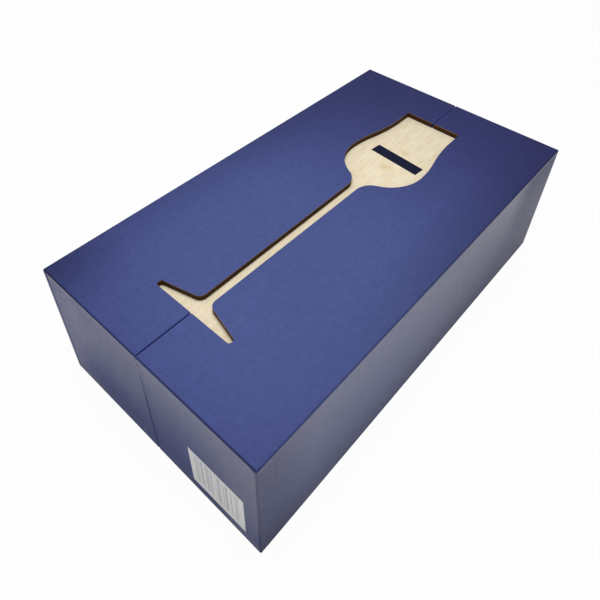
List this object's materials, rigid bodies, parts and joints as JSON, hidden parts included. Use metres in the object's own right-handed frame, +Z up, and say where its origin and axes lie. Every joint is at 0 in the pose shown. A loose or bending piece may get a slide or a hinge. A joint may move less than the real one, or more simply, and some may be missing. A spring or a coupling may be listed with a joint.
{
  "type": "glassware gift box",
  "caption": "Rigid gift box for stemmed glasses: paired hinged doors with a glass-shaped cut-out close over a tray with a wood panel and nested foam.",
  "frame": {"origin": "middle of the closed box's underside", "axes": "+Z up; +X across the width, to the right seen from the labelled end; +Y along the length, from the foot of the glass-shaped cut-out to its rim"},
  "size_m": [0.16, 0.2941, 0.0905],
  "materials": {
    "covering_paper": "matt dark blue covering paper with a fine linen grain",
    "lining_paper": "matt dark lining paper",
    "foam": "dark closed-cell foam",
    "veneer": "pale birch veneer, matt, grain along the box",
    "nameplate": "bare dark blue plate, matt",
    "label_paper": "white label paper with plain grey bars",
    "magnet": "nickel-plated magnet",
    "steel": "plain steel strip",
    "cut_board": "3 mm fibreboard with scorched cut edges",
    "board": "plain board"
  },
  "bodies": {
    "tray": {"base_board": "board", "base_cover": "covering_paper", "tray_right_wall": "board", "tray_left_wall": "board", "tray_back_wall": "board", "tray_front_wall": "board", "tray_cover": "covering_paper", "back_keeper_strip": "steel", "front_keeper_strip": "steel", "right_foam_lower": "foam", "left_foam_lower": "foam", "right_foam_upper": "foam", "left_foam_upper": "foam", "wood_panel": "veneer", "nameplate": "nameplate"},
    "right_door": {"right_door_top_board": "cut_board", "right_door_side_board": "board", "right_door_back_board": "board", "right_door_front_board": "board", "right_door_cover": "covering_paper", "right_door_lining": "lining_paper", "right_door_magnets": "magnet", "barcode_label": "label_paper"},
    "left_door": {"left_door_top_board": "cut_board", "left_door_side_board": "board", "left_door_back_board": "board", "left_door_front_board": "board", "left_door_cover": "covering_paper", "left_door_lining": "lining_paper", "left_door_magnets": "magnet"}
  },
  "joints": [
    {"name": "right_door_hinge", "type": "hinge", "parent": "tray", "child": "right_door", "pos_m": [0.08, 0, 0], "axis": [0, 1, 0], "range_deg": [0, 90]},
    {"name": "left_door_hinge", "type": "hinge", "parent": "tray", "child": "left_door", "pos_m": [-0.08, 0, 0], "axis": [0, -1, 0], "range_deg": [0, 90]}
  ]
}
